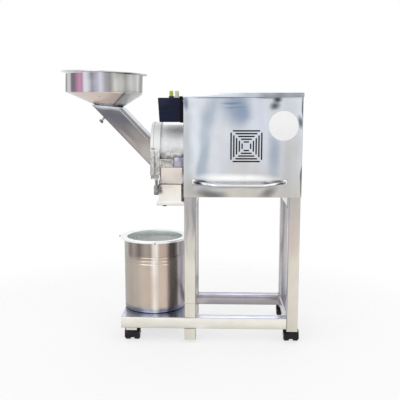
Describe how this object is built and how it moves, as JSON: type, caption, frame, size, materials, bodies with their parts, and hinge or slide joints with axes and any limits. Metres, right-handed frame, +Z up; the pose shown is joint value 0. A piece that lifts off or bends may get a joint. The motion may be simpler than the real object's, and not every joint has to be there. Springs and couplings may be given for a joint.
{
  "type": "spice pulverizer",
  "caption": "Stainless steel spice pulverizer: round hopper, sloping chute, grinding chamber, motor cabinet on a castor stand, collecting drum.",
  "frame": {"origin": "middle of the bounding box's footprint, on the floor", "axes": "+X to the right seen from the front, +Y to the rear, +Z up"},
  "size_m": [0.8596, 0.3995, 0.9638],
  "materials": {
    "polished_steel": "polished, soft mirror",
    "satin_steel": "satin",
    "cast_steel": "fettled casting",
    "spun_aluminium": "spun",
    "motor_paint": "semi-matt enamel",
    "black_plastic": "moulded",
    "starter_case": "moulded",
    "start_plastic": "moulded",
    "stop_plastic": "moulded"
  },
  "bodies": {
    "stand": {"arm_bracket": "satin_steel", "bottom_rail_front": "polished_steel", "bottom_rail_left": "polished_steel", "bottom_rail_rear": "polished_steel", "bottom_rail_right": "polished_steel", "chamber_adapter": "cast_steel", "chamber_arm": "cast_steel", "chamber_body": "cast_steel", "discharge_duct": "polished_steel", "discharge_sleeve": "polished_steel", "drum_tray": "polished_steel", "fan_cowl": "motor_paint", "front_handle": "polished_steel", "front_panel": "polished_steel", "hinge_pin": "satin_steel", "left_panel": "polished_steel", "leg_front_left": "polished_steel", "leg_front_right": "polished_steel", "leg_rear_left": "polished_steel", "leg_rear_right": "polished_steel", "leg_stub_front": "polished_steel", "leg_stub_rear": "polished_steel", "liner": "satin_steel", "motor_body": "motor_paint", "motor_end_shield": "motor_paint", "motor_plate": "satin_steel", "rear_panel": "polished_steel", "right_panel": "polished_steel", "sieve": "satin_steel", "starter_box": "starter_case", "top_rail_front": "polished_steel", "top_rail_left": "polished_steel", "top_rail_rear": "polished_steel", "top_rail_right": "polished_steel"},
    "door_assembly": {"door": "cast_steel", "chute": "polished_steel", "chute_cover": "polished_steel", "hopper": "polished_steel"},
    "gate": {"feed_gate": "satin_steel", "gate_knob": "black_plastic"},
    "rotor_assembly": {"motor_shaft": "satin_steel", "rotor": "satin_steel", "cooling_fan": "black_plastic"},
    "lid_body": {"lid": "polished_steel"},
    "drum": {"drum_body": "polished_steel", "drum_collar": "spun_aluminium"},
    "start_button_body": {"start_button": "start_plastic"},
    "stop_button_body": {"stop_button": "stop_plastic"},
    "bolt_front": {"swing_bolt_front": "satin_steel"},
    "knob_front": {"clamp_knob_front": "satin_steel"},
    "bolt_rear": {"swing_bolt_rear": "satin_steel"},
    "knob_rear": {"clamp_knob_rear": "satin_steel"},
    "swivel_front_left": {"castor_hood_front_left": "black_plastic"},
    "wheels_front_left": {"castor_wheels_front_left": "black_plastic"},
    "swivel_front_right": {"castor_hood_front_right": "black_plastic"},
    "wheels_front_right": {"castor_wheels_front_right": "black_plastic"},
    "swivel_rear_left": {"castor_hood_rear_left": "black_plastic"},
    "wheels_rear_left": {"castor_wheels_rear_left": "black_plastic"},
    "swivel_rear_right": {"castor_hood_rear_right": "black_plastic"},
    "wheels_rear_right": {"castor_wheels_rear_right": "black_plastic"}
  },
  "joints": [
    {"name": "door_hinge", "type": "hinge", "parent": "stand", "child": "door_assembly", "pos_m": [-0.09021, -0.09275, 0.6425], "axis": [0, 0, 1], "range_deg": [0, 110]},
    {"name": "gate_slide", "type": "slide", "parent": "door_assembly", "child": "gate", "axis": [-0.722, 0, -0.6919], "range_m": [0, 0.036]},
    {"name": "rotor_spin", "type": "hinge", "parent": "stand", "child": "rotor_assembly", "pos_m": [0.12129, 0.02325, 0.6836], "axis": [1, 0, 0], "continuous": true},
    {"name": "lid_lift", "type": "slide", "parent": "stand", "child": "lid_body", "axis": [0, 0, 1], "range_m": [0, 0.05]},
    {"name": "drum_slide", "type": "slide", "parent": "stand", "child": "drum", "axis": [-1, 0, 0], "range_m": [0, 0.26]},
    {"name": "start_press", "type": "slide", "parent": "stand", "child": "start_button_body", "axis": [0, 0, -1], "range_m": [0, 0.004], "stiffness_N_per_m": 300, "springref_m": -0.004},
    {"name": "stop_press", "type": "slide", "parent": "stand", "child": "stop_button_body", "axis": [0, 0, -1], "range_m": [0, 0.004], "stiffness_N_per_m": 300, "springref_m": -0.004},
    {"name": "bolt_swing_front", "type": "hinge", "parent": "stand", "child": "bolt_front", "pos_m": [-0.08171, -0.06175, 0.5874], "axis": [0, 1, 0], "range_deg": [0, 90]},
    {"name": "knob_spin_front", "type": "hinge", "parent": "bolt_front", "child": "knob_front", "pos_m": [-0.08171, -0.06175, 0.5594], "axis": [0, 0, 1], "continuous": true},
    {"name": "bolt_swing_rear", "type": "hinge", "parent": "stand", "child": "bolt_rear", "pos_m": [-0.08171, 0.10825, 0.5874], "axis": [0, 1, 0], "range_deg": [0, 90]},
    {"name": "knob_spin_rear", "type": "hinge", "parent": "bolt_rear", "child": "knob_rear", "pos_m": [-0.08171, 0.10825, 0.5594], "axis": [0, 0, 1], "continuous": true},
    {"name": "castor_swivel_front_left", "type": "hinge", "parent": "stand", "child": "swivel_front_left", "pos_m": [-0.16921, -0.11675, 0.0439], "axis": [0, 0, 1], "continuous": true},
    {"name": "castor_roll_front_left", "type": "hinge", "parent": "swivel_front_left", "child": "wheels_front_left", "pos_m": [-0.16921, -0.10275, 0.02], "axis": [1, 0, 0], "continuous": true},
    {"name": "castor_swivel_front_right", "type": "hinge", "parent": "stand", "child": "swivel_front_right", "pos_m": [0.40329, -0.11675, 0.0439], "axis": [0, 0, 1], "continuous": true},
    {"name": "castor_roll_front_right", "type": "hinge", "parent": "swivel_front_right", "child": "wheels_front_right", "pos_m": [0.40329, -0.10275, 0.02], "axis": [1, 0, 0], "continuous": true},
    {"name": "castor_swivel_rear_left", "type": "hinge", "parent": "stand", "child": "swivel_rear_left", "pos_m": [-0.16921, 0.16325, 0.0439], "axis": [0, 0, 1], "continuous": true},
    {"name": "castor_roll_rear_left", "type": "hinge", "parent": "swivel_rear_left", "child": "wheels_rear_left", "pos_m": [-0.16921, 0.17725, 0.02], "axis": [1, 0, 0], "continuous": true},
    {"name": "castor_swivel_rear_right", "type": "hinge", "parent": "stand", "child": "swivel_rear_right", "pos_m": [0.40329, 0.16325, 0.0439], "axis": [0, 0, 1], "continuous": true},
    {"name": "castor_roll_rear_right", "type": "hinge", "parent": "swivel_rear_right", "child": "wheels_rear_right", "pos_m": [0.40329, 0.17725, 0.02], "axis": [1, 0, 0], "continuous": true}
  ]
}
